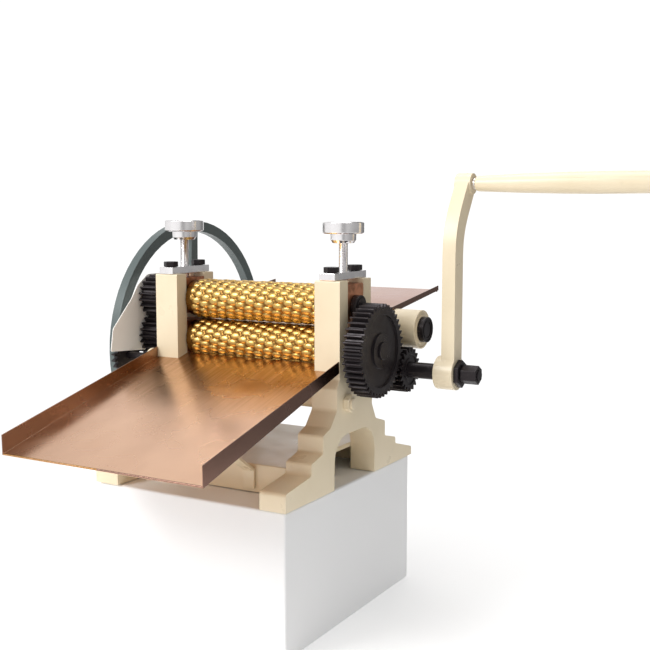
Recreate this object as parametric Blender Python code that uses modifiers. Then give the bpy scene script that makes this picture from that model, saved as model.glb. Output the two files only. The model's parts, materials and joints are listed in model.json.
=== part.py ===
"""Hand-cranked drop roller: two embossed brass rolls in a cast frame, with copper trays.

Lengths below are millimetres; the helpers turn them into Blender's metres.
The origin is the centre of the base's underside. X runs along the rolls towards the crank,
Y runs from the outfeed tray to the infeed tray, and Z is up.
"""
import math

import bmesh
import bpy

MM = 0.001
GAP = 0.3                      # clearance left between pieces that touch on the real machine
MERGE = 0.00001                # metres

# ---- driving dimensions -------------------------------------------------------------------
LOWER_Z = 190.0                # height of the lower roll's axis
ROLL_R = 30.0
NIP = 0.4                      # gap between the closed rolls
UPPER_Z = LOWER_Z + 2 * ROLL_R + NIP
ROLL_HALF = 117.5              # half the length of a roll
ROLL_SHAFT_R = 12.0

FRAME_IN = 119.0               # inner face of a side frame
FRAME_OUT = 159.0              # outer face of a side frame
HEAD_HALF = 46.0               # half the depth of the head
HEAD_TOP = 288.0
WINDOW_HALF = 23.0             # half the width of the bearing window
WINDOW_FLOOR = 162.0

MODULE = 3.0                   # of the roll gears, the idler and the crank's reduction
FAST_MODULE = 2.0              # of the pair that speeds up the flywheel
DRIVE_TEETH = 42
PINION_TEETH = 20
ROLL_TEETH = 20
FAST_TEETH = (28, 17)          # on the crankshaft, on the flywheel
BACKLASH = 0.25                # each tooth is this much thinner than its space
PRESSURE_ANGLE = math.radians(20)
CLEARANCE = 1.25               # tooth depth below the pitch circle, in modules

CRANK = (85.1, 152.5)          # Y and Z of each axis along X
IDLER = (-53.0, 161.9)
CROSS = (128.0, 207.0)
WHEEL = (128.0, 166.0)
TIE = (-25.0, 117.0)
BRACKET_FOOT = (-28.0, 145.0)  # where the idler's bracket is bolted on
CRANK_SHAFT_R = 11.7
BUSH_R = 15.5
CROSS_SHAFT_R = 12.0
TIE_BAR_R = 11.0
TIE_END_R = 8.0
IDLER_STUD_R = 5.5
AXLE_R = 8.0                   # the flywheel's fixed axle

RIGHT_GEAR = (173.0, 201.0)    # X range of the drive gear
PINION = (174.0, 204.0)
LEFT_GEAR = (-204.0, -172.0)   # X range of the gear pair on the rolls
GUARD = (-207.4, -206.0)
OUTER_GEAR = (-215.5, -209.0)  # X range of the idler and of the gear that turns it
FAST_GEAR = (-190.0, -176.0)
RIM = (-232.0, -217.0)
FLYWHEEL_R = 198.5
RIM_DEPTH = 17.0
FLYWHEEL_HUB_R = 26.0
FLYWHEEL_HUB = (-237.0, -212.0)
SPOKES = 4
FIRST_SPOKE = math.radians(88)

SCREW_X = 139.0
SCREW_R = 6.8
SCREW_SEAT = 282.0             # top of an upper bearing
SCREW_TIP = 273.0
CAP_TOP = 298.5
CAP_HALF = (12.5, 46.0)        # half the cap bar's width and length
CAP_BOLT_R = 6.0
CAP_BOLT_Y = 34.0
CAP_BOLT_END = 268.0
KNOB_TOP = 368.5

SHEET = 1.5                    # thickness of the copper trays
TRAY_HALF = 157.0
TONGUE_HALF = 117.5
FRONT_EDGE, FRONT_LIP = -360.0, -24.0
FRONT_SLOPE = 0.276
FRONT_Z = 163.0                # tray floor at the front of the posts
FRONT_FLANGE = (25.0, 15.0)    # flange height at the free edge and at the posts
REAR_EDGE, REAR_LIP = 287.0, 14.0
REAR_SLOPE = 0.131
REAR_Z = 222.1                 # tray floor at the back of the posts
REAR_FLANGE = (6.5, 8.0)
SADDLE_HALF = 9.0              # half the length of the saddle under the rear tray

HUB = (249.5, 278.5)           # X range of the crank's hub
HUB_R = 24.0
CRANK_NUTS = (35.0, 24.0)      # across the flats: main nut, lock nut
ARM_X = (258.5, 278.5)
ARM_WIDTH = 28.0
ARM_BEND_Z = 322.0             # the arm starts to lean here
HANDLE = (129.0, 421.5)
HANDLE_END = 570.0
HANDLE_GRIP = (11.0, 15.0, 14.5)   # radius at the arm, halfway and at the free end
SPINDLE_R = 5.5
SHAFT_END = 312.5              # right end of the crankshaft

SIDES = (("left", -1), ("right", 1))

# ---- colours ------------------------------------------------------------------------------
PAINT = ("cream_paint", (0.86, 0.78, 0.60), 0.45, 0.0)
BRASS = ("brass", (0.80, 0.56, 0.20), 0.30, 1.0)
COPPER = ("copper", (0.76, 0.45, 0.30), 0.32, 1.0)
BLACK = ("black_oxide", (0.030, 0.026, 0.028), 0.50, 0.6)
STEEL = ("steel", (0.62, 0.61, 0.62), 0.28, 1.0)
BRONZE = ("bronze", (0.56, 0.28, 0.17), 0.42, 1.0)
TEAL = ("teal_paint", (0.17, 0.22, 0.21), 0.50, 0.0)
GUARD_PAINT = ("guard_paint", (0.82, 0.77, 0.70), 0.50, 0.0)

ALONG_X = (math.pi / 2, 0.0, math.pi / 2)   # drawing plane becomes YZ, its normal becomes X
UPRIGHT = (0.0, 0.0, 0.0)

for old in list(bpy.data.objects):
    bpy.data.objects.remove(old)
PARTS = bpy.data.collections.new("drop_roller")
CUTTERS = bpy.data.collections.new("cutters")
for collection in (PARTS, CUTTERS):
    bpy.context.scene.collection.children.link(collection)


# ---- placing and finishing ----------------------------------------------------------------
def material_for(finish):
    """Return the Principled material of a finish, made on first use."""
    name, colour, roughness, metallic = finish
    material = bpy.data.materials.get(name)
    if material is None:
        material = bpy.data.materials.new(name)
        material.use_nodes = True
        shader = material.node_tree.nodes["Principled BSDF"]
        shader.inputs["Base Color"].default_value = (*colour, 1.0)
        shader.inputs["Roughness"].default_value = roughness
        shader.inputs["Metallic"].default_value = metallic
    return material


def place(obj, finish, location=(0, 0, 0), rotation=UPRIGHT):
    """Put an object into the parts collection, at a place given in millimetres."""
    PARTS.objects.link(obj)
    obj.location = [value * MM for value in location]
    obj.rotation_euler = rotation
    obj.data.materials.append(material_for(finish))
    return obj


def set_aside(obj):
    """Move an object used only by a Boolean to the cutters."""
    PARTS.objects.unlink(obj)
    CUTTERS.objects.link(obj)
    obj.hide_render = True
    obj.display_type = "WIRE"
    return obj


def combine(obj, other, operation):
    """Unite with, or cut by, another solid."""
    modifier = obj.modifiers.new(operation.lower(), "BOOLEAN")
    modifier.operation = operation
    modifier.solver = "EXACT"
    modifier.object = set_aside(other)
    return obj


def smooth(obj, angle=35):
    obj.data.shade_smooth()
    obj.data.set_sharp_from_angle(angle=math.radians(angle))
    return obj


# ---- solids -------------------------------------------------------------------------------
def as_mesh(obj):
    """Turn a curve object into a mesh object with welded caps, under the same name."""
    bpy.context.view_layer.update()
    evaluated = obj.evaluated_get(bpy.context.evaluated_depsgraph_get())
    mesh = bpy.data.meshes.new_from_object(evaluated)
    bm = bmesh.new()
    bm.from_mesh(mesh)
    bmesh.ops.remove_doubles(bm, verts=bm.verts, dist=MERGE)
    bmesh.ops.recalc_face_normals(bm, faces=bm.faces)
    bm.to_mesh(mesh)
    bm.free()
    name, matrix = obj.name, obj.matrix_world.copy()
    bpy.data.objects.remove(obj)
    solid = bpy.data.objects.new(name, mesh)
    PARTS.objects.link(solid)
    solid.matrix_world = matrix
    return solid


def plate(name, finish, loops, span, rotation=ALONG_X):
    """Extrude a flat outline, with holes, over a span of X (or of Z when upright)."""
    curve = bpy.data.curves.new(name, "CURVE")
    curve.dimensions = "2D"
    curve.fill_mode = "BOTH"
    curve.extrude = (span[1] - span[0]) / 2 * MM
    for loop in loops:
        spline = curve.splines.new("POLY")
        spline.points.add(len(loop) - 1)
        for point, (u, v) in zip(spline.points, loop):
            point.co = (u * MM, v * MM, 0.0, 1.0)
        spline.use_cyclic_u = True
    middle = (span[0] + span[1]) / 2
    location = (middle, 0, 0) if rotation == ALONG_X else (0, 0, middle)
    obj = place(bpy.data.objects.new(name, curve), finish, location, rotation)
    return smooth(as_mesh(obj))


def turned(name, finish, stations, centre, bore=0.0, rotation=ALONG_X, steps=32):
    """Turn a solid from (position, radius) stations, highest position first.

    centre holds the axis's Y and Z, or its X and Y when the axis is upright.
    """
    outline = [(radius, position) for position, radius in stations]
    first, last = outline[0][1], outline[-1][1]
    if bore:
        outline += [(bore, last), (bore, first)]
    else:
        outline = [(0.0, first)] + outline + [(0.0, last)]
    mesh = bpy.data.meshes.new(name)
    edges = [(i, i + 1) for i in range(len(outline) - 1)]
    if bore:
        edges.append((len(outline) - 1, 0))
    mesh.from_pydata([(radius * MM, 0.0, z * MM) for radius, z in outline], edges, [])
    location = (0, *centre) if rotation == ALONG_X else (*centre, 0)
    obj = place(bpy.data.objects.new(name, mesh), finish, location, rotation)
    screw = obj.modifiers.new("turn", "SCREW")
    screw.steps = screw.render_steps = steps
    screw.use_merge_vertices = True
    screw.merge_threshold = MERGE
    screw.use_smooth_shade = True
    return obj


def block(name, finish, low, high):
    """Make a rectangular block between two corners."""
    bm = bmesh.new()
    bmesh.ops.create_cube(bm, size=1.0)
    size = [(b - a) * MM for a, b in zip(low, high)]
    bmesh.ops.scale(bm, vec=size, verts=bm.verts)
    mesh = bpy.data.meshes.new(name)
    bm.to_mesh(mesh)
    bm.free()
    centre = [(a + b) / 2 for a, b in zip(low, high)]
    return place(bpy.data.objects.new(name, mesh), finish, centre)


# ---- outlines -----------------------------------------------------------------------------
def circle(centre, radius, count=24, start=0.0):
    turn = 2 * math.pi / count
    return [(centre[0] + radius * math.cos(start + i * turn),
             centre[1] + radius * math.sin(start + i * turn)) for i in range(count)]


def hexagon(centre, across_flats):
    return circle(centre, across_flats / math.sqrt(3), 6, math.pi / 6)


def rounded(corners, arc_steps=4):
    """Replace each (u, v, radius) corner by an arc tangent to both its sides."""
    outline = []
    for i, (u, v, radius) in enumerate(corners):
        before, after = corners[i - 1], corners[(i + 1) % len(corners)]
        if not radius:
            outline.append((u, v))
            continue
        a = (before[0] - u, before[1] - v)
        b = (after[0] - u, after[1] - v)
        la, lb = math.hypot(*a), math.hypot(*b)
        a, b = (a[0] / la, a[1] / la), (b[0] / lb, b[1] / lb)
        half = math.acos(max(-1.0, min(1.0, a[0] * b[0] + a[1] * b[1]))) / 2
        reach = radius / math.sin(half)
        bisector = (a[0] + b[0], a[1] + b[1])
        length = math.hypot(*bisector)
        centre = (u + bisector[0] / length * reach, v + bisector[1] / length * reach)
        tangent = radius / math.tan(half)
        start = math.atan2(v + a[1] * tangent - centre[1], u + a[0] * tangent - centre[0])
        end = math.atan2(v + b[1] * tangent - centre[1], u + b[0] * tangent - centre[0])
        sweep = (end - start + math.pi) % (2 * math.pi) - math.pi
        for step in range(arc_steps + 1):
            angle = start + sweep * step / arc_steps
            outline.append((centre[0] + radius * math.cos(angle),
                            centre[1] + radius * math.sin(angle)))
    return outline


def link(a, radius_a, b, radius_b, arc_steps=8):
    """Outline of two round ends joined by straight sides."""
    outline = []
    for (u, v), radius, other in ((a, radius_a, b), (b, radius_b, a)):
        away = math.atan2(v - other[1], u - other[0])
        for step in range(arc_steps + 1):
            angle = away - math.pi / 2 + math.pi * step / arc_steps
            outline.append((u + radius * math.cos(angle), v + radius * math.sin(angle)))
    return outline


def band(path, width):
    """Outline of a strip of constant width along a path."""
    left, right = [], []
    for i, (u, v) in enumerate(path):
        ahead = path[min(i + 1, len(path) - 1)]
        behind = path[max(i - 1, 0)]
        into = math.atan2(v - behind[1], u - behind[0]) if i else None
        out = math.atan2(ahead[1] - v, ahead[0] - u) if i < len(path) - 1 else None
        into = out if into is None else into
        out = into if out is None else out
        turn = (out - into + math.pi) % (2 * math.pi) - math.pi
        normal = into + turn / 2 + math.pi / 2
        offset = width / 2 / math.cos(turn / 2)
        left.append((u + offset * math.cos(normal), v + offset * math.sin(normal)))
        right.append((u - offset * math.cos(normal), v - offset * math.sin(normal)))
    return left + right[::-1]


def bezier(p0, p1, p2, p3, count):
    """Points along a cubic curve, without its first point."""
    points = []
    for i in range(1, count + 1):
        t = i / count
        weights = ((1 - t) ** 3, 3 * t * (1 - t) ** 2, 3 * t * t * (1 - t), t ** 3)
        points.append(tuple(sum(w * p[k] for w, p in zip(weights, (p0, p1, p2, p3))) for k in (0, 1)))
    return points


# ---- gears --------------------------------------------------------------------------------
def involute_angle(radius, base):
    """Angle that an involute has turned through where it reaches a radius."""
    if radius <= base:
        return 0.0
    roll = math.sqrt((radius / base) ** 2 - 1)
    return roll - math.atan(roll)


def gear_outline(centre, teeth, phase, module=MODULE, flank_steps=1):
    """Involute gear outline with the middle of one tooth at angle phase."""
    pitch_r = module * teeth / 2
    base_r = pitch_r * math.cos(PRESSURE_ANGLE)
    tip_r, root_r = pitch_r + module, pitch_r - CLEARANCE * module
    half_tooth = (math.pi * module / 2 - BACKLASH) / 2 / pitch_r
    reference = half_tooth + involute_angle(pitch_r, base_r)
    start_r = max(base_r, root_r)
    radii = [start_r + (tip_r - start_r) * i / flank_steps for i in range(flank_steps + 1)]
    flank = [(radius, reference - involute_angle(radius, base_r)) for radius in radii]
    if root_r < base_r:
        flank.insert(0, (root_r, reference))
    outline = []
    for tooth in range(teeth):
        middle = phase + 2 * math.pi * tooth / teeth
        for radius, half in flank:
            outline.append((radius, middle - half))
        for radius, half in reversed(flank):
            outline.append((radius, middle + half))
    return [(centre[0] + r * math.cos(a), centre[1] + r * math.sin(a)) for r, a in outline]


def meshing_phase(driver_centre, driver_teeth, driver_phase, centre, teeth):
    """Phase that puts a gear's space where the driver's tooth is."""
    direction = math.atan2(centre[1] - driver_centre[1], centre[0] - driver_centre[0])
    position = (direction - driver_phase) * driver_teeth / (2 * math.pi)
    return direction + math.pi - (0.5 - position) * 2 * math.pi / teeth


def gear(name, centre, teeth, phase, span, bore, module=MODULE):
    return plate(name, BLACK, [gear_outline(centre, teeth, phase, module), circle(centre, bore)], span)


# ---- frame --------------------------------------------------------------------------------
def side_outline(side):
    """Side frame in Y and Z: head with its window, rear arm, waist and stepped feet.

    The left one's rear arm is fuller, because it carries the flywheel's axle.
    """
    front_leg = [(-60, 0, 0), (-187, 0, 0), (-187, 25, 6), (-122, 34, 5), (-122, 50, 4), (-91, 58, 4),
                 (-91, 82, 5), (-71, 89, 8), (-53, 110, 10), (-53, 140, 8), (-HEAD_HALF, 152, 6)]
    head = [(-HEAD_HALF, HEAD_TOP, 2), (-WINDOW_HALF, HEAD_TOP, 0), (-WINDOW_HALF, WINDOW_FLOOR, 1),
            (WINDOW_HALF, WINDOW_FLOOR, 1), (WINDOW_HALF, HEAD_TOP, 0), (HEAD_HALF, HEAD_TOP, 2)]
    arm_end = [(145, 190, 19), (112, 127, 22)]
    if side < 0:
        arm_end = [(153, 190, 19), (145, 146, 16), (112, 127, 16)]
    rear_arm = [(HEAD_HALF, 215, 6), (149, 225.5, 20)] + arm_end + [(52, 120, 8)]
    rear_leg = [(51, 104, 8), (64, 80, 6), (94, 71, 4), (94, 48, 4), (130, 39, 4), (130, 29, 4),
                (187, 13, 5), (187, 0, 0), (60, 0, 0)]
    arch = [(60, 73, 36), (-60, 73, 36)]
    return rounded(front_leg + head + rear_arm + rear_leg + arch)


def side_frame(name, side):
    span = sorted((side * FRAME_IN, side * FRAME_OUT))
    holes = [circle(CRANK, BUSH_R + GAP), circle(CROSS, CROSS_SHAFT_R + GAP), circle(TIE, TIE_END_R + GAP)]
    if side < 0:
        holes.append(circle(WHEEL, AXLE_R + GAP))
    frame = plate(name, PAINT, [side_outline(side)] + holes, span)
    for y in (-CAP_BOLT_Y, CAP_BOLT_Y):
        stations = [(HEAD_TOP + 10, CAP_BOLT_R + GAP), (CAP_BOLT_END - 2, CAP_BOLT_R + GAP)]
        drill = turned(name + "_drill", PAINT, stations, (side * SCREW_X, y), rotation=UPRIGHT, steps=16)
        combine(frame, drill, "DIFFERENCE")


def bed_plate():
    """Cast bed: a deck with a front skirt, a rear skirt and a middle rib down to the base."""
    deck_z, under, half, skirt, rib = 40, 33, 121.5, 110, 14
    outline = [(-half, 0), (-half, deck_z), (half, deck_z), (half, 0), (skirt, 0), (skirt, under),
               (rib, under), (rib, 0), (-rib, 0), (-rib, under), (-skirt, under), (-skirt, 0)]
    plate("bed_plate", PAINT, [outline], (-FRAME_IN + GAP, FRAME_IN - GAP))


def tie_bar():
    end, shoulder, nut = FRAME_OUT + 12, FRAME_IN - GAP, 9
    stations = [(end, TIE_END_R), (shoulder, TIE_END_R), (shoulder, TIE_BAR_R),
                (-shoulder, TIE_BAR_R), (-shoulder, TIE_END_R), (-end, TIE_END_R)]
    turned("tie_bar", PAINT, stations, TIE, steps=24)
    for label, side in SIDES:
        span = sorted((side * (FRAME_OUT + GAP), side * (FRAME_OUT + nut)))
        plate(label + "_tie_nut", PAINT, [hexagon(TIE, 22), circle(TIE, TIE_END_R + GAP)], span)


def bearing(name, side, low, high, axis_z):
    """Bearing block for a roll's shaft, in the window of a side frame."""
    half = WINDOW_HALF - GAP
    outline = rounded([(-half, low, 2), (-half, high, 2), (half, high, 2), (half, low, 2)], 2)
    span = sorted((side * (FRAME_IN + GAP), side * (FRAME_OUT - GAP)))
    return plate(name, BRONZE, [outline, circle((0, axis_z), ROLL_SHAFT_R + GAP)], span)


def bearings():
    below, above, proud = 22, 27, 4
    for label, side in SIDES:
        bearing(label + "_lower_bearing", side, WINDOW_FLOOR + GAP, LOWER_Z + above, LOWER_Z)
        upper = bearing(label + "_upper_bearing", side, UPPER_Z - below, SCREW_SEAT, UPPER_Z)
        stations = [(SCREW_SEAT + 8, SCREW_R + GAP), (SCREW_TIP - GAP, SCREW_R + GAP)]
        centre = (side * SCREW_X, 0)
        socket = turned(label + "_socket", BRONZE, stations, centre, rotation=UPRIGHT, steps=16)
        combine(upper, socket, "DIFFERENCE")
        span = sorted((side * (FRAME_IN - proud), side * (FRAME_OUT + proud)))
        loops = [circle(CRANK, BUSH_R), circle(CRANK, CRANK_SHAFT_R + GAP)]
        plate(label + "_crank_bush", BRONZE, loops, span)


def cap(label, side):
    """Cap bar that closes a window, with its two bolts and the adjusting screw's hole."""
    x = side * SCREW_X
    half_x, half_y = CAP_HALF
    outline = [(x - half_x, -half_y), (x + half_x, -half_y), (x + half_x, half_y), (x - half_x, half_y)]
    holes = [circle((x, 0), SCREW_R + GAP, 20)]
    holes += [circle((x, y), CAP_BOLT_R + GAP, 16) for y in (-CAP_BOLT_Y, CAP_BOLT_Y)]
    plate(label + "_cap_bar", STEEL, [outline] + holes, (HEAD_TOP + GAP, CAP_TOP), UPRIGHT)
    for place_name, y in (("front", -CAP_BOLT_Y), ("rear", CAP_BOLT_Y)):
        name = f"{label}_{place_name}_cap_bolt"
        head = plate(name, BLACK, [hexagon((x, y), 19)], (CAP_TOP + GAP, CAP_TOP + 8), UPRIGHT)
        shank = turned(name + "_shank", BLACK, [(CAP_TOP + 4, CAP_BOLT_R), (CAP_BOLT_END, CAP_BOLT_R)],
                       (x, y), rotation=UPRIGHT, steps=16)
        combine(head, shank, "UNION")


def adjusting_screw(label, side):
    """Screw that carries an upper bearing, with its round hand knob."""
    centre, top = (side * SCREW_X, 0), KNOB_TOP
    turned(label + "_adjusting_screw", STEEL, [(top - 2, SCREW_R), (SCREW_TIP, SCREW_R)],
           centre, rotation=UPRIGHT, steps=20)
    profile = [(top, 27.5), (top - 1.5, 29.5), (top - 15.5, 29.5), (top - 17, 27.5), (top - 17, 18.5),
               (top - 30, 18.5), (top - 30, 10.5)]
    turned(label + "_knob", STEEL, profile, centre, SCREW_R + GAP, UPRIGHT, 32)


# ---- rolls and their gears ----------------------------------------------------------------
def roll(name, axis_z, left_end, right_end):
    """Brass roll with relieved ends on a steel shaft."""
    relief, relief_r = 9, ROLL_R - 3
    turned(name + "_roller", BRASS, [(ROLL_HALF, relief_r), (ROLL_HALF - relief, relief_r),
                                     (ROLL_HALF - relief, ROLL_R), (relief - ROLL_HALF, ROLL_R),
                                     (relief - ROLL_HALF, relief_r), (-ROLL_HALF, relief_r)],
           (0, axis_z), ROLL_SHAFT_R + GAP, steps=48)
    stations = [(right_end, ROLL_SHAFT_R), (left_end, ROLL_SHAFT_R)]
    turned(name + "_shaft", BLACK, stations, (0, axis_z), steps=24)


def drive_gear():
    """Large gear on the lower roll, with a boss that reaches to the side frame."""
    phase = math.atan2(CRANK[1] - LOWER_Z, CRANK[0])
    centre, bore = (0, LOWER_Z), ROLL_SHAFT_R + GAP
    wheel = plate("drive_gear", BLACK, [gear_outline(centre, DRIVE_TEETH, phase)], RIGHT_GEAR)
    boss = [(RIGHT_GEAR[0] + 4, 19), (FRAME_OUT + GAP, 19)]
    combine(wheel, turned("drive_boss", BLACK, boss, centre, steps=24), "UNION")
    drill = [(RIGHT_GEAR[1] + 3, bore), (FRAME_OUT - 3, bore)]
    combine(wheel, turned("drive_bore", BLACK, drill, centre, steps=24), "DIFFERENCE")
    gear("pinion", CRANK, PINION_TEETH, meshing_phase(centre, DRIVE_TEETH, phase, CRANK, PINION_TEETH),
         PINION, CRANK_SHAFT_R + GAP)


def roll_gears():
    """Gears that tie the rolls together, and the outer gear that turns the idler."""
    lower, upper, up, bore = (0, LOWER_Z), (0, UPPER_Z), math.pi / 2, ROLL_SHAFT_R + GAP
    gear("lower_left_gear", lower, ROLL_TEETH, up, LEFT_GEAR, bore)
    gear("upper_left_gear", upper, ROLL_TEETH, meshing_phase(lower, ROLL_TEETH, up, upper, ROLL_TEETH),
         LEFT_GEAR, bore)
    gear("lower_outer_gear", lower, ROLL_TEETH, up, OUTER_GEAR, bore)
    gear("idler_gear", IDLER, ROLL_TEETH, meshing_phase(lower, ROLL_TEETH, up, IDLER, ROLL_TEETH),
         OUTER_GEAR, IDLER_STUD_R + GAP)
    stations = [(FRAME_OUT + 9, 16), (FRAME_OUT + GAP, 16)]
    turned("upper_shaft_collar", BLACK, stations, upper, bore, steps=24)


def idler_mount():
    """Bracket on the left side frame that carries the idler's stud."""
    low, high = -FRAME_OUT - 5, -FRAME_OUT - GAP
    loops = [link(IDLER, 14, BRACKET_FOOT, 12), circle(IDLER, IDLER_STUD_R + GAP, 16)]
    plate("idler_bracket", PAINT, loops, (low, high))
    stations = [(high - 1, IDLER_STUD_R), (OUTER_GEAR[0] + 1, IDLER_STUD_R)]
    turned("idler_stud", BLACK, stations, IDLER, steps=16)


def gear_guard():
    """Sheet guard outside the roll gears, on two studs behind them."""
    outline = rounded([(-96, 172, 2), (-90, 206, 8), (-47, 248, 8), (-32, 268, 10), (-8, 284, 14),
                       (42, 284, 20), (64, 262, 16), (64, 160, 3)], 3)
    plate("gear_guard", GUARD_PAINT, [outline, circle((0, LOWER_Z), ROLL_SHAFT_R + 2)], GUARD)
    for name, y, z in (("upper_guard_stud", 40, 272), ("lower_guard_stud", 50, 176)):
        turned(name, STEEL, [(-FRAME_OUT - GAP, 4), (GUARD[1] + GAP, 4)], (y, z), steps=12)


# ---- crank and flywheel -------------------------------------------------------------------
def crankshaft():
    """Shaft through both side frames, with the crank's nuts and the gear that drives the flywheel."""
    seat, thread, nut_end = 10.0, 8.0, HUB[1] + 7.5
    turned("crankshaft", BLACK, [(SHAFT_END, thread), (HUB[1] + GAP, thread), (HUB[1] + GAP, seat),
                                 (HUB[0] - GAP, seat), (HUB[0] - GAP, CRANK_SHAFT_R),
                                 (FAST_GEAR[0] - 2, CRANK_SHAFT_R)], CRANK, steps=24)
    bore = circle(CRANK, thread + GAP, 20)
    plate("crank_nut", BLACK, [hexagon(CRANK, CRANK_NUTS[0]), bore], (HUB[1] + 2 * GAP, nut_end))
    plate("crank_lock_nut", BLACK, [hexagon(CRANK, CRANK_NUTS[1]), bore], (nut_end + GAP, SHAFT_END - 2))
    gear("crank_left_gear", CRANK, FAST_TEETH[0], 0.0, FAST_GEAR, CRANK_SHAFT_R + GAP, FAST_MODULE)


def crank_arm():
    """Square arm that rises straight from its hub and leans back to the handle."""
    y, top_y, top_z = CRANK[0], *HANDLE
    path = [CRANK, (y, ARM_BEND_Z)]
    path += bezier((y, ARM_BEND_Z), (y, ARM_BEND_Z + 45), (top_y - 20, top_z - 34), HANDLE, 8)
    arm = plate("crank_arm", PAINT, [band(path, ARM_WIDTH)], ARM_X)
    hub = turned("crank_hub", PAINT, [(HUB[1], HUB_R), (HUB[0], HUB_R)], CRANK, steps=32)
    boss = turned("handle_boss", PAINT, [(ARM_X[1] + 2, 15), (ARM_X[0] - 2, 15)], HANDLE, steps=28)
    combine(arm, hub, "UNION")
    combine(arm, boss, "UNION")
    for name, radius, centre in (("hub_bore", 10 + GAP, CRANK), ("boss_bore", SPINDLE_R + GAP, HANDLE)):
        stations = [(HUB[1] + 5, radius), (HUB[0] - 5, radius)]
        combine(arm, turned(name, PAINT, stations, centre, steps=24), "DIFFERENCE")


def grip_radius(along):
    """Radius of the handle's sleeve at a part of its length, 0 at the arm and 1 at the free end."""
    near, middle, far = HANDLE_GRIP
    rest = 1 - along
    return near * rest * (rest - along) + 4 * middle * rest * along + far * along * (along - rest)


def handle():
    """Swelling sleeve that turns on a spindle, kept on by a cap at the free end."""
    collar, collar_end, collar_r = ARM_X[1] + 2 + GAP, ARM_X[1] + 6 + GAP, 8.5
    spindle = [(HANDLE_END - 4, SPINDLE_R), (collar_end, SPINDLE_R), (collar_end, collar_r),
               (collar, collar_r), (collar, SPINDLE_R), (ARM_X[0] - 5, SPINDLE_R)]
    turned("handle_spindle", STEEL, spindle, HANDLE, steps=20)
    start, end, end_r = collar_end + GAP, HANDLE_END - 11, HANDLE_GRIP[2] - 1.5
    rings = 8
    swell = [(start + 3 + (end - start - 6) * ring / rings, grip_radius(ring / rings))
             for ring in range(rings, -1, -1)]
    sleeve = [(end, end_r)] + swell + [(start, HANDLE_GRIP[0] - 1.5)]
    turned("handle_sleeve", PAINT, sleeve, HANDLE, SPINDLE_R + GAP, steps=28)
    cap_shape = [(HANDLE_END, 8), (HANDLE_END - 4, end_r), (end + GAP, end_r)]
    cap_end = turned("handle_end_cap", PAINT, cap_shape, HANDLE, steps=28)
    stations = [(HANDLE_END - 4 + GAP, SPINDLE_R + GAP), (end - 5, SPINDLE_R + GAP)]
    combine(cap_end, turned("end_cap_drill", PAINT, stations, HANDLE, steps=20), "DIFFERENCE")


def spoke(index, inner):
    """One tapered spoke, from inside the hub to inside the rim."""
    angle = FIRST_SPOKE + index * 2 * math.pi / SPOKES
    ray, across = (math.cos(angle), math.sin(angle)), (-math.sin(angle), math.cos(angle))
    ends = ((FLYWHEEL_HUB_R - 8, 11.0), (inner + 6, 7.5))
    corners = [(ends[0], -1), (ends[1], -1), (ends[1], 1), (ends[0], 1)]
    outline = [(WHEEL[0] + reach * ray[0] + sign * half * across[0],
                WHEEL[1] + reach * ray[1] + sign * half * across[1]) for (reach, half), sign in corners]
    return plate(f"spoke_{index}", TEAL, [outline], (RIM[0] + 3, RIM[1] - 3))


def flywheel():
    """Flywheel: a rim, a hub and tapered spokes."""
    inner = FLYWHEEL_R - RIM_DEPTH
    wheel = turned("flywheel", TEAL, [(RIM[1], FLYWHEEL_R), (RIM[0], FLYWHEEL_R)], WHEEL, inner, steps=64)
    stations = [(FLYWHEEL_HUB[1], FLYWHEEL_HUB_R), (FLYWHEEL_HUB[0], FLYWHEEL_HUB_R)]
    hub = turned("flywheel_hub", TEAL, stations, WHEEL, AXLE_R + GAP, steps=32)
    for index in range(SPOKES):
        combine(hub, spoke(index, inner), "UNION")
    combine(wheel, hub, "UNION")


def flywheel_drive():
    """Small gear with a long boss beside the flywheel, and the fixed axle that both turn on."""
    large, small = FAST_TEETH
    phase = meshing_phase(CRANK, large, 0.0, WHEEL, small)
    pinion = plate("flywheel_pinion", BLACK, [gear_outline(WHEEL, small, phase, FAST_MODULE)], FAST_GEAR)
    boss = [(FAST_GEAR[0] + 4, 13), (FLYWHEEL_HUB[1] + GAP, 13)]
    combine(pinion, turned("pinion_boss", BLACK, boss, WHEEL, steps=24), "UNION")
    drill = [(FAST_GEAR[1] + 3, AXLE_R + GAP), (FLYWHEEL_HUB[1] - 3, AXLE_R + GAP)]
    combine(pinion, turned("pinion_bore", BLACK, drill, WHEEL, steps=24), "DIFFERENCE")
    collar, shoulder, collar_r, nut_end = -FRAME_OUT - GAP, FAST_GEAR[1] + GAP, 11.5, FLYWHEEL_HUB[0] - 12
    axle = [(-FRAME_IN - 1, AXLE_R), (collar, AXLE_R), (collar, collar_r),
            (shoulder, collar_r), (shoulder, AXLE_R), (nut_end - 3, AXLE_R)]
    turned("flywheel_axle", STEEL, axle, WHEEL, steps=24)
    plate("flywheel_nut", BLACK, [hexagon(WHEEL, 26), circle(WHEEL, AXLE_R + GAP)],
          (nut_end, FLYWHEEL_HUB[0] - GAP))


# ---- trays --------------------------------------------------------------------------------
def front_floor(y):
    return FRONT_Z + FRONT_SLOPE * (y + HEAD_HALF)


def rear_floor(y):
    return REAR_Z + REAR_SLOPE * (y - HEAD_HALF)


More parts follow.
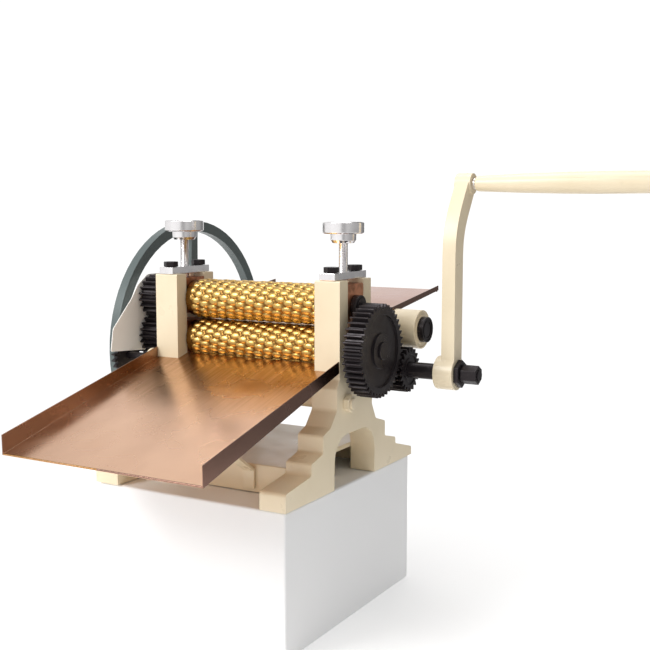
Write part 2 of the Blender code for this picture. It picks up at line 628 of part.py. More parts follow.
def tray(name, floor, edge, post_face, lip, edge_flange, post_flange):
    """Copper tray: a floor with a tongue between the posts and a flange along each side."""
    bm = bmesh.new()

    def vertex(x, y, rise=0.0):
        return bm.verts.new((x * MM, y * MM, (floor(y) + rise) * MM))

    xs = (-TRAY_HALF, -TONGUE_HALF, TONGUE_HALF, TRAY_HALF)
    outer = [vertex(x, edge) for x in xs]
    inner = [vertex(x, post_face) for x in xs]
    tongue = [vertex(x, lip) for x in xs[1:3]]
    for i in range(3):
        bm.faces.new((outer[i], outer[i + 1], inner[i + 1], inner[i]))
    bm.faces.new((inner[1], inner[2], tongue[1], tongue[0]))
    for i in (0, 3):
        top = (vertex(xs[i], edge, edge_flange), vertex(xs[i], post_face, post_flange))
        bm.faces.new((outer[i], inner[i], top[1], top[0]))
    bmesh.ops.recalc_face_normals(bm, faces=bm.faces)
    middle = bm.faces[:][1]
    middle.normal_update()
    if middle.normal.z < 0:
        bmesh.ops.reverse_faces(bm, faces=bm.faces)
    mesh = bpy.data.meshes.new(name)
    bm.to_mesh(mesh)
    bm.free()
    obj = place(bpy.data.objects.new(name, mesh), COPPER)
    solidify = obj.modifiers.new("sheet", "SOLIDIFY")
    solidify.thickness = SHEET * MM
    solidify.offset = -1.0
    solidify.use_even_offset = True
    return obj


def trays():
    tray("front_tray", front_floor, FRONT_EDGE, -HEAD_HALF - 1, FRONT_LIP, *FRONT_FLANGE)
    tray("rear_tray", rear_floor, REAR_EDGE, HEAD_HALF + 1, REAR_LIP, *REAR_FLANGE)
    foot_y, bend_y, end_y, strap = -124.2, -235, -275, 4
    for label, side in SIDES:
        path = [(foot_y, 6), (foot_y, 32), (bend_y, front_floor(bend_y) - SHEET - 3.2),
                (end_y, front_floor(end_y) - SHEET - 2.6)]
        plate(label + "_tray_strut", PAINT, [band(path, strap)], sorted((side * 52, side * 70)))
    front, back = CROSS[0] - SADDLE_HALF, CROSS[0] + SADDLE_HALF
    block("rear_tray_saddle", PAINT, (-90, front, CROSS[1] + CROSS_SHAFT_R + GAP),
          (90, back, rear_floor(front) - SHEET - GAP))


def rear_cross_shaft():
    """Shaft between the rear arms, with a hub and a nut at each end."""
    ends = {"left": 170.0, "right": 203.0}
    beyond, nut = 8, 9
    turned("rear_cross_shaft", BLACK, [(ends["right"] + beyond, CROSS_SHAFT_R),
                                       (-ends["left"] - beyond, CROSS_SHAFT_R)], CROSS, steps=24)
    for label, side in SIDES:
        low, high = sorted((side * (FRAME_OUT + GAP), side * ends[label]))
        turned(label + "_rear_hub", PAINT, [(high, 29), (low, 29)], CROSS, CROSS_SHAFT_R + GAP, steps=32)
        low, high = sorted((side * (ends[label] + GAP), side * (ends[label] + nut)))
        turned(label + "_hub_nut", BLACK, [(high, 19), (low, 19)], CROSS, CROSS_SHAFT_R + GAP, steps=24)


def build():
    bed_plate()
    tie_bar()
    bearings()
    for label, side in SIDES:
        side_frame(label + "_side_frame", side)
        cap(label, side)
        adjusting_screw(label, side)
    roll("lower", LOWER_Z, OUTER_GEAR[0], RIGHT_GEAR[1] + 3)
    roll("upper", UPPER_Z, LEFT_GEAR[0], FRAME_OUT + 10)
    drive_gear()
    roll_gears()
    idler_mount()
    gear_guard()
    crankshaft()
    crank_arm()
    handle()
    flywheel()
    flywheel_drive()
    trays()
    rear_cross_shaft()


build()
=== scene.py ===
"""The looks of the hand-cranked drop roller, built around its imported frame.

Lengths are metres, in the frame's own axes: X runs along the rolls towards the crank, Y from the
front tray to the rear tray, and Z is up. MM turns millimetres into metres.
"""
import json
import math

import bmesh
import bpy
from mathutils import Matrix, Vector

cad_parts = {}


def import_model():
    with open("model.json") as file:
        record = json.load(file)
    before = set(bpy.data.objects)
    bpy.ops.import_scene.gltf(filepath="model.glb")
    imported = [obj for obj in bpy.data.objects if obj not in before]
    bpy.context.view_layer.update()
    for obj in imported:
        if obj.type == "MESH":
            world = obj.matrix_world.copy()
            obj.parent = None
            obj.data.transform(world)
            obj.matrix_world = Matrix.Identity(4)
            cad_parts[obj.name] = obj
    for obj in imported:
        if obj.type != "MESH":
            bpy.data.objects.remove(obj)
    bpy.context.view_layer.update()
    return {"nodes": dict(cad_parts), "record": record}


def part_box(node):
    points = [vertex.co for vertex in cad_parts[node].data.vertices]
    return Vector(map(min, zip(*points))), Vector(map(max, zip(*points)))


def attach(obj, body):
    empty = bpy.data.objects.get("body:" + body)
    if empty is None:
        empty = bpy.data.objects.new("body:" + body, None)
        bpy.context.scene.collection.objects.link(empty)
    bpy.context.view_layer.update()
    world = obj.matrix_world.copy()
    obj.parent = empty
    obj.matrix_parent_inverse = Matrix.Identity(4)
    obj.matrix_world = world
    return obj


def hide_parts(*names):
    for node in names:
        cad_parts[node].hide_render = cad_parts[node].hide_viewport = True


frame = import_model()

MM = 0.001
RECORD = frame["record"]
SLOT_OF = {part["node"]: part["material_slot"] for part in RECORD["subparts"]}
BODY_OF = {node: body for body, nodes in RECORD["behaviour"]["bodies"].items() for node in nodes}
SIDES = (("left", -1), ("right", 1))


def centre_of(node):
    low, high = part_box(node)
    return (low + high) / 2


ROLL_R = (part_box("lower_roller")[1].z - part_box("lower_roller")[0].z) / 2
ROLL_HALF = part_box("lower_roller")[1].x
HOLLOW = 2.4                  # depth of the ground between a roll's drops, in millimetres
TRAY_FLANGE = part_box("front_tray")[1].x       # where the trays' flanges stand
REAR_RISE = 7.8 * MM          # from the underside of the rear tray's free edge to its flange's top


# ---- materials ----------------------------------------------------------------------------
class Finish:
    """A Principled material, with short calls that add nodes to it."""

    def __init__(self, name, roughness, metallic=0.0):
        self.material = bpy.data.materials.new(name)
        self.material.use_nodes = True
        self.tree = self.material.node_tree
        self.shader = self.tree.nodes["Principled BSDF"]
        self.set("Metallic", metallic)
        self.set("Roughness", roughness)

    def set(self, socket, value):
        """Give one of the shader's own sockets a constant value."""
        self.shader.inputs[socket].default_value = value

    def feed(self, socket, source):
        self.tree.links.new(source, self.shader.inputs[socket])

    def node(self, kind, inputs=(), **settings):
        """Add a node; inputs maps a socket's name or index to a value or to another socket."""
        node = self.tree.nodes.new(kind)
        for key, value in settings.items():
            setattr(node, key, value)
        for key, value in dict(inputs).items():
            if isinstance(value, bpy.types.NodeSocket):
                self.tree.links.new(value, node.inputs[key])
            else:
                node.inputs[key].default_value = value
        return node

    def place(self, stretch=(1, 1, 1)):
        """Object coordinates, squeezed along some axes to stretch the pattern along others."""
        where = self.node("ShaderNodeTexCoord").outputs["Object"]
        return self.node("ShaderNodeMapping", {"Vector": where, "Scale": stretch}).outputs[0]

    def noise(self, scale, detail=3.0, stretch=(1, 1, 1), rough=0.5):
        """Noise from 0 to 1 with the given number of features per metre."""
        inputs = {"Vector": self.place(stretch), "Scale": scale, "Detail": detail, "Roughness": rough}
        return self.node("ShaderNodeTexNoise", inputs).outputs[0]

    def remap(self, source, low, high, to_low, to_high):
        inputs = {0: source, 1: low, 2: high, 3: to_low, 4: to_high}
        return self.node("ShaderNodeMapRange", inputs).outputs[0]

    def blend(self, factor, first, second, mode="MIX"):
        """Mix two colours, which may be (r, g, b) or sockets."""
        colours = [c if isinstance(c, bpy.types.NodeSocket) else (*c, 1.0) for c in (first, second)]
        inputs = {0: factor, 6: colours[0], 7: colours[1]}
        return self.node("ShaderNodeMix", inputs, data_type="RGBA", blend_type=mode).outputs[2]

    def radius(self):
        """Distance from the object's own X axis."""
        split = self.node("ShaderNodeSeparateXYZ", {0: self.place()})
        squares = [self.node("ShaderNodeMath", {0: split.outputs[i], 1: 2.0}, operation="POWER").outputs[0]
                   for i in (1, 2)]
        total = self.node("ShaderNodeMath", {0: squares[0], 1: squares[1]}, operation="ADD").outputs[0]
        return self.node("ShaderNodeMath", {0: total, 1: 0.5}, operation="POWER").outputs[0]

    def bump(self, height, depth, strength=1.0):
        """Add surface relief of a given depth in metres, over any that is there already."""
        inputs = {"Height": height, "Distance": depth, "Strength": strength}
        before = self.shader.inputs["Normal"].links
        if before:
            inputs["Normal"] = before[0].from_socket
        self.feed("Normal", self.node("ShaderNodeBump", inputs).outputs[0])


def enamel(name, colour, shade, roughness, grain=260.0):
    """Gloss or satin enamel with soft colour drift, orange peel and dulled patches."""
    finish = Finish(name, roughness)
    drift = finish.remap(finish.noise(9.0, 4.0), 0.35, 0.65, 0.0, 1.0)
    colour = finish.blend(drift, colour, shade)
    handled = finish.remap(finish.noise(38.0, 6.0, rough=0.7), 0.62, 0.78, 0.0, 0.35)
    colour = finish.blend(handled, colour, [value * 0.72 for value in shade])
    finish.feed("Base Color", colour)
    dullness = finish.noise(24.0, 5.0)
    finish.feed("Roughness", finish.remap(dullness, 0.3, 0.7, roughness - 0.08, roughness + 0.10))
    finish.bump(finish.noise(grain, 2.0), 0.00010)
    finish.bump(finish.noise(grain * 4, 2.0), 0.00002)
    finish.set("Coat Weight", 0.15)
    finish.set("Coat Roughness", 0.25)
    return finish.material


def embossed_brass():
    """Polished brass, tarnished brown in the hollows of the pattern."""
    finish = Finish("embossed_brass", 0.24, 1.0)
    patches = finish.remap(finish.noise(30.0, 4.0), 0.35, 0.65, 0.0, 1.0)
    polished = finish.blend(patches, (0.64, 0.43, 0.145), (0.55, 0.345, 0.10))
    hollow = finish.remap(finish.radius(), ROLL_R - HOLLOW * MM, ROLL_R - HOLLOW * MM / 3, 1.0, 0.0)
    finish.feed("Base Color", finish.blend(hollow, polished, (0.25, 0.13, 0.032)))
    finish.feed("Roughness", finish.remap(finish.noise(180.0, 3.0), 0.3, 0.7, 0.22, 0.38))
    finish.bump(finish.noise(1500.0, 2.0), 0.00003)
    return finish.material


def brushed_copper():
    """Copper sheet brushed along its length: a painted golden-brown reflection of the rolls near them, brown
    on the flanges, duller behind.
    """
    finish = Finish("brushed_copper", 0.25, 1.0)
    split = finish.node("ShaderNodeSeparateXYZ", {0: finish.place()})
    across = finish.node("ShaderNodeMath", {0: split.outputs[0]}, operation="ABSOLUTE").outputs[0]
    along = finish.node("ShaderNodeMath", {0: split.outputs[1]}, operation="ABSOLUTE").outputs[0]
    # Painted reflection: the brass rolls' golden brown, streaked along the tray, is painted into the copper
    # near the rolls.
    streaks = finish.noise(420.0, 4.0, (1.0, 0.02, 0.05))
    roll_reflection = finish.node("ShaderNodeMath", {0: finish.remap(along, 0.06, 0.22, 1.0, 0.0), 1: streaks},
                       operation="MULTIPLY").outputs[0]
    behind = finish.remap(split.outputs[1], 0.0, 0.05, 0.0, 1.0)
    copper = finish.blend(behind, (0.75, 0.47, 0.315), (0.50, 0.31, 0.255))
    colour = finish.blend(finish.remap(roll_reflection, 0.05, 0.55, 0.0, 0.9), copper, (0.31, 0.15, 0.026))
    stains = finish.remap(finish.noise(16.0, 5.0, (1.0, 0.5, 1.0)), 0.45, 0.75, 0.0, 0.4)
    colour = finish.blend(stains, colour, (0.56, 0.33, 0.215))
    edge = finish.remap(across, TRAY_FLANGE - 3 * MM, TRAY_FLANGE - 0.5 * MM, 0.0, 1.0)
    finish.feed("Base Color", finish.blend(edge, colour, (0.22, 0.125, 0.095)))
    finish.feed("Roughness", finish.remap(finish.noise(14.0, 5.0), 0.3, 0.7, 0.20, 0.33))
    finish.bump(finish.noise(900.0, 2.0, (1.0, 0.012, 0.2)), 0.000004)
    return finish.material


def oiled_black():
    """Black oxide on cast and cut iron, oily, with brighter rubbed spots."""
    finish = Finish("oiled_black", 0.38, 0.55)
    rubbed = finish.remap(finish.noise(140.0, 5.0, rough=0.65), 0.58, 0.75, 0.0, 0.5)
    finish.feed("Base Color", finish.blend(rubbed, (0.022, 0.017, 0.019), (0.085, 0.078, 0.080)))
    finish.feed("Roughness", finish.remap(finish.noise(60.0, 4.0), 0.3, 0.7, 0.26, 0.5))
    finish.bump(finish.noise(1100.0, 3.0), 0.00005)
    return finish.material


def turned_steel():
    """Bright steel with the fine rings that turning leaves."""
    finish = Finish("turned_steel", 0.16, 1.0)
    film = finish.remap(finish.noise(26.0, 4.0), 0.4, 0.7, 0.0, 1.0)
    finish.feed("Base Color", finish.blend(film, (0.92, 0.90, 0.90), (0.76, 0.73, 0.74)))
    rings = finish.noise(2600.0, 2.0, (1.0, 0.02, 0.02))
    finish.feed("Roughness", finish.remap(rings, 0.3, 0.7, 0.10, 0.24))
    finish.bump(rings, 0.000006)
    finish.set("Anisotropic", 0.3)
    return finish.material


def machined_bronze():
    """Reddish bronze, dark where oil has stained it."""
    finish = Finish("machined_bronze", 0.36, 1.0)
    stain = finish.remap(finish.noise(55.0, 5.0), 0.42, 0.66, 0.0, 0.85)
    finish.feed("Base Color", finish.blend(stain, (0.66, 0.30, 0.17), (0.20, 0.085, 0.045)))
    finish.feed("Roughness", finish.remap(finish.noise(300.0, 3.0), 0.3, 0.7, 0.28, 0.46))
    finish.bump(finish.noise(700.0, 2.0, (0.05, 1.0, 1.0)), 0.00003)
    return finish.material


FINISHES = {
    "cream_paint": enamel("cream_enamel", (0.84, 0.72, 0.52), (0.78, 0.66, 0.46), 0.34),
    "guard_paint": enamel("guard_enamel", (0.97, 0.94, 0.90), (0.95, 0.91, 0.86), 0.42),
    "teal_paint": enamel("teal_enamel", (0.088, 0.115, 0.112), (0.068, 0.088, 0.087), 0.36),
    "roll_brass": embossed_brass(),
    "bearing_bronze": machined_bronze(),
    "tray_copper": brushed_copper(),
    "gear_black": oiled_black(),
    "bright_steel": turned_steel(),
}


# ---- pieces -------------------------------------------------------------------------------
def shade(obj, angle=32):
    obj.data.shade_smooth()
    obj.data.set_sharp_from_angle(angle=math.radians(angle))
    return obj


def soften(obj, width, segments=2, angle=32):
    """Round the edges of a piece by a width in millimetres and keep its flats flat."""
    obj.data.shade_smooth()
    bevel = obj.modifiers.new("edges", "BEVEL")
    bevel.width = width * MM
    bevel.segments = segments
    bevel.limit_method = "ANGLE"
    bevel.angle_limit = math.radians(angle)
    bevel.harden_normals = False
    weighted = obj.modifiers.new("flats", "WEIGHTED_NORMAL")
    weighted.keep_sharp = True
    return obj


def piece(name, mesh, slot, body, location=(0, 0, 0)):
    """Make a mesh into a finished piece that rides on a body."""
    obj = bpy.data.objects.new(name, mesh)
    bpy.context.scene.collection.objects.link(obj)
    obj.location = location
    mesh.materials.clear()
    mesh.materials.append(FINISHES[slot])
    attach(obj, body)
    return obj


def stand_in(node, mesh, location=(0, 0, 0)):
    """Make a finished piece that stands for one CAD node, with that node's body and slot."""
    obj = piece(node + "_finished", mesh, SLOT_OF[node], BODY_OF[node], location)
    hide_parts(node)
    return obj


def solid_copy(node, origin=(0, 0, 0)):
    """Copy a CAD node's mesh, welded and with its flat faces whole, about a new origin."""
    bm = bmesh.new()
    bm.from_mesh(frame["nodes"][node].data)
    bmesh.ops.remove_doubles(bm, verts=bm.verts, dist=0.002 * MM)
    bmesh.ops.dissolve_limit(bm, angle_limit=math.radians(0.6), verts=bm.verts, edges=bm.edges)
    bmesh.ops.translate(bm, vec=-Vector(origin), verts=bm.verts)
    mesh = bpy.data.meshes.new(node + "_mesh")
    bm.to_mesh(mesh)
    bm.free()
    for layer in ("custom_normal", "sharp_edge"):
        if layer in mesh.attributes:
            mesh.attributes.remove(mesh.attributes[layer])
    return mesh


def refined(node, width, segments=2, origin=(0, 0, 0)):
    return soften(stand_in(node, solid_copy(node, origin), origin), width, segments)


def skin(bm, first, second):
    """Join two rings of the same number of points with a band of faces."""
    count = len(first)
    for i in range(count):
        j = (i + 1) % count
        bm.faces.new((first[i], first[j], second[j], second[i]))


def finished_mesh(bm, name):
    """Point the faces outwards and turn the working mesh into a stored one."""
    bmesh.ops.recalc_face_normals(bm, faces=bm.faces)
    mesh = bpy.data.meshes.new(name)
    bm.to_mesh(mesh)
    bm.free()
    return mesh


def turned_mesh(name, profile, steps=64, bore=0.0):
    """Turn (position along X, radius) stations in millimetres into a closed mesh about the X axis."""
    outline = [(x * MM, radius * MM) for x, radius in profile]
    if bore:
        outline += [(outline[-1][0], bore * MM), (outline[0][0], bore * MM)]
    bm = bmesh.new()
    rings = []
    for x, radius in outline:
        if radius < 1e-9:
            rings.append([bm.verts.new((x, 0, 0))])
            continue
        angles = [2 * math.pi * i / steps for i in range(steps)]
        rings.append([bm.verts.new((x, radius * math.cos(a), radius * math.sin(a))) for a in angles])
    pairs = list(zip(rings, rings[1:]))
    if bore:
        pairs.append((rings[-1], rings[0]))
    for first, second in pairs:
        for i in range(steps):
            corners = [first[i % len(first)], first[(i + 1) % len(first)],
                       second[(i + 1) % len(second)], second[i % len(second)]]
            unique = list(dict.fromkeys(corners))
            if len(unique) > 2:
                bm.faces.new(unique)
    if not bore:
        for ring in (rings[0], rings[-1]):
            if len(ring) > 1:
                bm.faces.new(ring)
    return finished_mesh(bm, name)


def upright(mesh):
    """Turn a mesh made along X so that it stands along Z."""
    mesh.transform(Matrix.Rotation(-math.pi / 2, 4, "Y"))
    return mesh


# ---- rolls --------------------------------------------------------------------------------
LATTICE = ((18, 30.4), (-14, 34.7))   # each family of rows: turns of phase round the roll, axial pitch
DROP = (8.6, 6.0)                     # half length and half width of one raised drop
RELIEF = (9.0, 3.0)                   # length and depth of the plain part at each end of a roll
RUN_OUT = (1.2, 0.8)                  # the pattern sinks this deep over this length at its ends
ROLL_BORE_R = 13.0
ROLL_MESH = (218, 190)                # steps along and round a roll's pattern


def drop_offset(ds, dt):
    """Axial and round-the-roll distance between two places in the lattice."""
    (turns_s, pitch_s), (turns_t, pitch_t) = LATTICE
    scale = turns_s / pitch_t - turns_t / pitch_s
    axial = (turns_s * dt - turns_t * ds) / scale
    around = (dt / pitch_s - ds / pitch_t) / scale
    return axial, around * 2 * math.pi * ROLL_R / MM


def drop_height(x, angle):
    """Height of the pattern, 0 on the ground and 1 on the crest of a drop."""
    places = [x / pitch - turns * angle / (2 * math.pi) for turns, pitch in LATTICE]
    nearest = [round(place) for place in places]
    best = 0.0
    for i in (-1, 0, 1):
        for j in (-1, 0, 1):
            axial, around = drop_offset(places[0] - nearest[0] - i, places[1] - nearest[1] - j)
            best = max(best, 1.0 - (axial / DROP[0]) ** 2 - (around / DROP[1]) ** 2)
    return math.sqrt(best)


def pattern_radius(x, angle):
    """Radius of a roll's patterned part at a place along and round it, in millimetres."""
    length, depth = RUN_OUT
    inward = min(1.0, (ROLL_HALF / MM - RELIEF[0] - abs(x)) / length)
    return ROLL_R / MM - HOLLOW * (1 - drop_height(x, angle)) - depth * (1 - inward)


def embossed_roll(node):
    """A roll with slanting rows of raised drops, and plain relieved ends."""
    centre = centre_of(node)
    half, plain = ROLL_HALF / MM, ROLL_R / MM - RELIEF[1]
    pattern = half - RELIEF[0]
    columns, around = ROLL_MESH
    bm = bmesh.new()

    def ring(x, radius_at):
        """Ring of points at one place along the roll; radius_at gives the radius at an angle."""
        points = []
        for i in range(around):
            angle = 2 * math.pi * i / around
            r = radius_at(angle)
            points.append(bm.verts.new((x * MM, -r * MM * math.cos(angle), r * MM * math.sin(angle))))
        return points

    def plain_ring(x, radius):
        return ring(x, lambda angle: radius)

    rings = [plain_ring(-half, ROLL_BORE_R), plain_ring(-half, plain), plain_ring(-pattern, plain)]
    for i in range(columns + 1):
        x = -pattern + 2 * pattern * i / columns
        rings.append(ring(x, lambda angle: pattern_radius(x, angle)))
    rings += [plain_ring(pattern, plain), plain_ring(half, plain), plain_ring(half, ROLL_BORE_R)]
    for first, second in zip(rings, rings[1:] + rings[:1]):
        skin(bm, first, second)
    obj = stand_in(node, finished_mesh(bm, node), (0, centre.y, centre.z))
    return shade(obj, 50)


# ---- knobs and screws ---------------------------------------------------------------------
KNOB_TOP_GAP = 0.2             # the dished top stays this far under the CAD knob's top
KNOB_RIM = 16.8                # thickness of the rim
KNOB_CHAMFER = (1.8, 1.4, 1.6) # across the rim's face, down its edge at the top, up it at the bottom
KNOB_DISH = (1.6, 12.0, 9.0)   # depth, and how far the floor and the lip lie inside the edge
KNOB_HUB = ((4.0, 18.2), (2.5, 16.8), (0.0, 15.5))     # height above the bottom, radius
KNOB_HUB_TOP_R = 18.4


def knob(label):
    """Round steel hand knob with a dished top, a chamfered rim and a stepped hub."""
    node = label + "_knob"
    low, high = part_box(node)
    centre = (low + high) / 2
    radius = (high.x - low.x) / 2 / MM
    top = high.z / MM - KNOB_TOP_GAP
    under = top - KNOB_RIM
    depth, floor, lip = KNOB_DISH
    across, down, up = KNOB_CHAMFER
    profile = [(top - depth, 0.0), (top - depth, radius - floor), (top, radius - lip), (top, radius - across),
               (top - down, radius), (under + up, radius), (under, radius - across),
               (under, KNOB_HUB_TOP_R)]
    profile += [(low.z / MM + height, hub_radius) for height, hub_radius in KNOB_HUB]
    mesh = upright(turned_mesh(node, profile, 96))
    obj = stand_in(node, mesh, (centre.x, centre.y, 0))
    return soften(obj, 0.5, 2, 20)


THREAD_PITCH, THREAD_DEPTH = 2.0 * MM, 0.7 * MM
THREAD_ROWS, THREAD_STEPS = 6, 28     # steps in one pitch, and round the screw
SCREW_PLAIN_END = 3 * MM              # length at the top of a screw that the mesh leaves off


def threaded_screw(label):
    """Adjusting screw with a real thread form."""
    node = label + "_adjusting_screw"
    low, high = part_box(node)
    centre = (low + high) / 2
    radius = (high.x - low.x) / 2
    start, end = low.z, high.z - SCREW_PLAIN_END
    rows = int((end - start) / THREAD_PITCH * THREAD_ROWS)
    bm = bmesh.new()
    rings = []
    for row in range(rows + 1):
        z = start + (end - start) * row / rows
        ring = []
        for i in range(THREAD_STEPS):
            phase = (z / THREAD_PITCH - i / THREAD_STEPS) % 1.0
            r = radius - THREAD_DEPTH * abs(2 * phase - 1)
            angle = 2 * math.pi * i / THREAD_STEPS
            ring.append(bm.verts.new((r * math.cos(angle), r * math.sin(angle), z)))
        rings.append(ring)
    for first, second in zip(rings, rings[1:]):
        skin(bm, first, second)
    bm.faces.new(rings[0])
    bm.faces.new(rings[-1])
    return shade(stand_in(node, finished_mesh(bm, node), (centre.x, centre.y, 0)), 50)


# ---- cut and added detail -----------------------------------------------------------------
def carved(mesh, tools):
    """Cut tool meshes out of a mesh and return the result."""
    scene = bpy.context.scene.collection
    solid = bpy.data.objects.new(mesh.name + "_solid", mesh)
    cutters = [bpy.data.objects.new(tool.name + "_cutter", tool) for tool in tools]
    for obj in [solid] + cutters:
        scene.objects.link(obj)
    for cutter in cutters:
        cut = solid.modifiers.new("cut", "BOOLEAN")
        cut.operation = "DIFFERENCE"
        cut.solver = "EXACT"
        cut.object = cutter
    bpy.context.view_layer.update()
    result = bpy.data.meshes.new_from_object(solid.evaluated_get(bpy.context.evaluated_depsgraph_get()))
    for obj in [solid] + cutters:
        bpy.data.objects.remove(obj)
    return result


def moved(mesh, offset):
    mesh.transform(Matrix.Translation([value * MM for value in offset]))
    return mesh


def ring_tool(face, side, depth, outer, inner, about=(0, 0)):
    """Tool that sinks a ring into the face of a wheel; side is the way the face looks along X."""
    stations = [(face - side * depth, outer), (face + side * 2, outer)]
    return moved(turned_mesh("ring", stations, 64, inner), (0, *about))


# Sunk rings in wheel faces: side the face looks, depth, outer and inner radius in millimetres.
RECESSES = {
    "drive_gear": [(1, 3.0, 51.0, 25.0)],
    "pinion": [(1, 1.5, 22.5, 17.0), (-1, 1.5, 22.5, 17.0)],
    "lower_left_gear": [(-1, 2.0, 22.5, 17.0)],
    "upper_left_gear": [(-1, 2.0, 22.5, 17.0)],
    "lower_outer_gear": [(-1, 1.2, 22.5, 17.0)],
    "idler_gear": [(-1, 1.2, 22.5, 11.0)],
    "crank_left_gear": [(-1, 2.0, 21.5, 16.0)],
    "left_rear_hub": [(-1, 1.2, 26.0, 21.0)],
    "right_rear_hub": [(1, 1.2, 26.0, 21.0)],
    "left_hub_nut": [(-1, 1.0, 16.5, 13.5)],
    "right_hub_nut": [(1, 1.0, 16.5, 13.5)],
    "left_crank_bush": [(-1, 0.8, 14.2, 13.2)],
    "right_crank_bush": [(1, 0.8, 14.2, 13.2)],
}


def recessed(node, width):
    """Finish a wheel with a ring sunk into one or both of its faces."""
    centre = centre_of(node)
    low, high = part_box(node)
    tools = []
    for side, depth, outer, inner in RECESSES[node]:
        face = ((high if side > 0 else low).x - centre.x) / MM
        tools.append(ring_tool(face, side, depth, outer, inner))
    mesh = carved(solid_copy(node, centre), tools)
    return soften(stand_in(node, mesh, centre), width)


def rod(name, start, end, radius, slot, body):
    """Round bar between two points given in metres."""
    start, end = Vector(start), Vector(end)
    length = (end - start).length / MM
    mesh = turned_mesh(name, [(0, radius), (length, radius)], 16)
    mesh.transform(Vector((1, 0, 0)).rotation_difference(end - start).to_matrix().to_4x4())
    return shade(piece(name, mesh, slot, body, start))


def tray_hems():
    """A wired hem under the free edge of each tray."""
    radius = 1.3 * MM
    inset = 2.0 * MM
    front_low, front_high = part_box("front_tray")
    rear_low, rear_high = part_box("rear_tray")
    edges = {"front": (front_low.y + radius, front_low.z + radius),
             "rear": (rear_high.y - radius, rear_high.z - REAR_RISE - radius)}
    for label, (y, z) in edges.items():
        start, end = (front_low.x + inset, y, z), (front_high.x - inset, y, z)
        rod(label + "_tray_hem", start, end, radius / MM, "tray_copper", "frame")


GUARD_SCREW_R = 5.0
SCREW_STAND_OFF = 0.05        # a screw's head stands this far off the face under it


def domed_screw(name, face, centre, radius, side):
    """Slotted steel screw head on a face of the frame that looks along X, all in millimetres."""
    profile = [(0, radius), (side * 0.7, radius), (side * 1.15, radius * 0.75), (side * 1.3, radius * 0.35)]
    head = turned_mesh(name, profile, 24)
    groove = turned_mesh(name + "_slot", [(-0.5, 0.5), (0.5, 0.5)], 4)
    groove.transform(Matrix.Diagonal((1.4, 0.9, 4.0 * radius, 1)))
    head = carved(head, [moved(groove, (side * 1.2, 0, 0))])
    location = Vector((face, *centre)) * MM
    return soften(piece(name, head, "bright_steel", "frame", location), 0.15, 1)


def guard_screws():
    """Two screws that hold the gear guard on its studs."""
    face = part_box("gear_guard")[0].x / MM - SCREW_STAND_OFF
    for stud in ("upper_guard_stud", "lower_guard_stud"):
        centre = centre_of(stud) / MM
        domed_screw(stud + "_screw", face, (centre.y, centre.z), GUARD_SCREW_R, -1)


BRACKET_FOOT_R = 12.0
WASHER = (9.5, 1.2)            # radius and thickness
BOLT_HEAD = (7.5, 5.0)         # radius over the corners and height
BOLT_STAND_OFF = 0.1


def bracket_bolt():
    """Hexagon bolt with a washer at the foot of the idler's bracket."""
    low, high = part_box("idler_bracket")
    centre = (high.y / MM - BRACKET_FOOT_R, low.z / MM + BRACKET_FOOT_R)
    face = low.x / MM
    radius, thickness = WASHER
    washer = turned_mesh("bracket_washer", [(face, radius), (face - thickness, radius)], 32)
    seat = face - thickness - BOLT_STAND_OFF
    radius, height = BOLT_HEAD
    head = turned_mesh("bracket_bolt_head", [(seat, radius), (seat - height, radius)], 6)
    for mesh in (washer, head):
        soften(piece(mesh.name, moved(mesh, (0, *centre)), "gear_black", "frame"), 0.5)


# ---- everything else ----------------------------------------------------------------------
# Width of a piece's rounded edges in millimetres, where it isn't SMALL_EDGE.
EDGES = {
    "bed_plate": 1.5, "left_side_frame": 2.2, "right_side_frame": 2.2, "tie_bar": 0.8,
    "left_tie_nut": 0.8, "right_tie_nut": 0.8, "left_rear_hub": 2.5, "right_rear_hub": 2.5,
    "left_tray_strut": 0.6, "right_tray_strut": 0.6, "rear_tray_saddle": 0.8,
    "idler_bracket": 0.8, "crank_arm": 1.2, "handle_sleeve": 1.2, "handle_end_cap": 1.0,
    "gear_guard": 0.4, "flywheel": 3.0, "left_lower_bearing": 0.8, "right_lower_bearing": 0.8,
    "left_upper_bearing": 0.8, "right_upper_bearing": 0.8, "left_crank_bush": 0.6, "right_crank_bush": 0.6,
    "front_tray": 0.35, "rear_tray": 0.35, "drive_gear": 0.5, "pinion": 0.5, "lower_left_gear": 0.5,
    "upper_left_gear": 0.5, "idler_gear": 0.5, "lower_outer_gear": 0.5, "crank_left_gear": 0.4,
    "flywheel_pinion": 0.4, "left_cap_bar": 0.8, "right_cap_bar": 0.8,
}
SMALL_EDGE = 0.6
# Pieces whose own origin lies on their centre, so that their finish is turned about it.
ROUND = ("flywheel", "flywheel_pinion", "flywheel_nut", "crank_nut", "crank_lock_nut", "lower_shaft",
         "upper_shaft", "crankshaft", "rear_cross_shaft", "handle_sleeve")


def build():
    for node in ("lower_roller", "upper_roller"):
        embossed_roll(node)
    made = {"lower_roller", "upper_roller"}
    for label, _ in SIDES:
        knob(label)
        threaded_screw(label)
        made |= {label + "_knob", label + "_adjusting_screw"}
    for node in RECESSES:
        recessed(node, EDGES.get(node, SMALL_EDGE))
    made |= set(RECESSES)
    for node in sorted(set(SLOT_OF) - made):
        origin = centre_of(node) if node in ROUND else (0, 0, 0)
        refined(node, EDGES.get(node, SMALL_EDGE), origin=origin)
    tray_hems()
    guard_screws()
    bracket_bolt()


build()


# ---- stage --------------------------------------------------------------------------------
STAGE_DROP = 0.2          # the floor lies this far below the base, so that the handle clears it
FLOOR_R = 0.95
PLINTH_HALF = (0.156, 0.183)
PLINTH_GAP = 0.001        # between the base and the plinth's top


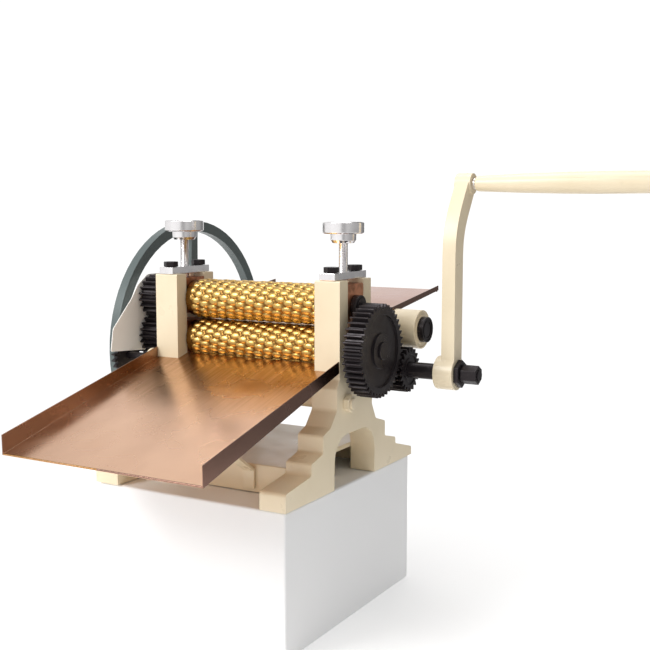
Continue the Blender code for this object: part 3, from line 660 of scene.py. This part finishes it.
def pale(name, colour, roughness, glow=0.0):
    finish = Finish(name, roughness)
    finish.set("Emission Color", (1.0, 1.0, 1.0, 1.0))
    finish.set("Emission Strength", glow)
    drift = finish.remap(finish.noise(3.0, 3.0), 0.3, 0.7, 0.0, 1.0)
    finish.feed("Base Color", finish.blend(drift, colour, [value * 0.985 for value in colour]))
    return finish.material


def stage():
    """A pale floor, and a plinth under the feet that leaves room for the flywheel and crank."""
    under = (0, 0, -STAGE_DROP)
    bpy.ops.mesh.primitive_circle_add(vertices=96, radius=FLOOR_R, fill_type="NGON", location=under)
    floor = bpy.context.object
    floor.name = "floor"
    floor.data.materials.append(pale("floor_paper", (0.94, 0.94, 0.94), 0.7, 0.24))
    bpy.ops.mesh.primitive_cube_add(size=1.0, location=(0, 0, -(STAGE_DROP + PLINTH_GAP) / 2))
    plinth = bpy.context.object
    plinth.name = "plinth"
    plinth.scale = (2 * PLINTH_HALF[0], 2 * PLINTH_HALF[1], STAGE_DROP - PLINTH_GAP)
    bpy.ops.object.transform_apply(location=False, rotation=False, scale=True)
    plinth.data.materials.append(pale("plinth_paper", (0.86, 0.86, 0.86), 0.6))
    soften(plinth, 3.0, 3)


def area_light(name, location, target, size, energy, colour=(1, 1, 1)):
    data = bpy.data.lights.new(name, "AREA")
    data.shape = "RECTANGLE"
    data.size, data.size_y = size
    data.energy = energy
    data.color = colour
    light = bpy.data.objects.new(name, data)
    light.location = location
    light.rotation_mode = "QUATERNION"
    light.rotation_quaternion = (Vector(target) - Vector(location)).to_track_quat("-Z", "Y")
    bpy.context.scene.collection.objects.link(light)


# Brightness of the surround by azimuth: degrees from +X towards +Y.
SURROUND = ((-180, 0.85), (-125, 1.00), (-80, 0.90), (-66, 0.40), (-54, 0.40), (-42, 0.56), (0, 0.42),
            (50, 0.36), (72, 0.20), (97, 0.17), (101, 1.00), (139, 1.00), (150, 0.70), (180, 0.85))
SURROUND_POWER = 1.06


def world():
    """A white surround with a dark band behind the crank's side and another towards the camera."""
    made = bpy.data.worlds.new("studio")
    bpy.context.scene.world = made
    made.use_nodes = True
    nodes, links = made.node_tree.nodes, made.node_tree.links
    direction = nodes.new("ShaderNodeTexCoord")
    azimuth = nodes.new("ShaderNodeTexGradient")
    azimuth.gradient_type = "RADIAL"
    bands = nodes.new("ShaderNodeValToRGB")
    stops = bands.color_ramp.elements
    for degrees, _ in SURROUND[1:-1]:
        stops.new(degrees / 360 + 0.5)
    for stop, (_, level) in zip(stops, SURROUND):
        stop.color = (level, level, level, 1.0)
    links.new(direction.outputs["Generated"], azimuth.inputs[0])
    links.new(azimuth.outputs["Fac"], bands.inputs[0])
    links.new(bands.outputs["Color"], nodes["Background"].inputs["Color"])
    nodes["Background"].inputs["Strength"].default_value = SURROUND_POWER


def camera():
    data = bpy.data.cameras.new("camera")
    data.sensor_width = 36.0
    data.lens = 58.04
    made = bpy.data.objects.new("camera", data)
    made.location = (0.850, -1.288, 0.393)
    made.rotation_euler = (math.radians(83.4), 0.0, math.radians(29.9))
    bpy.context.scene.collection.objects.link(made)
    bpy.context.scene.camera = made


stage()
world()
camera()
area_light("key", (-1.1, -2.0, 1.7), (0, 0, 0.2), (1.1, 1.1), 46.0)
area_light("top", (0.1, 0.3, 2.2), (0, 0, 0.2), (1.6, 0.8), 14.0)
bpy.context.scene.view_settings.view_transform = "Standard"
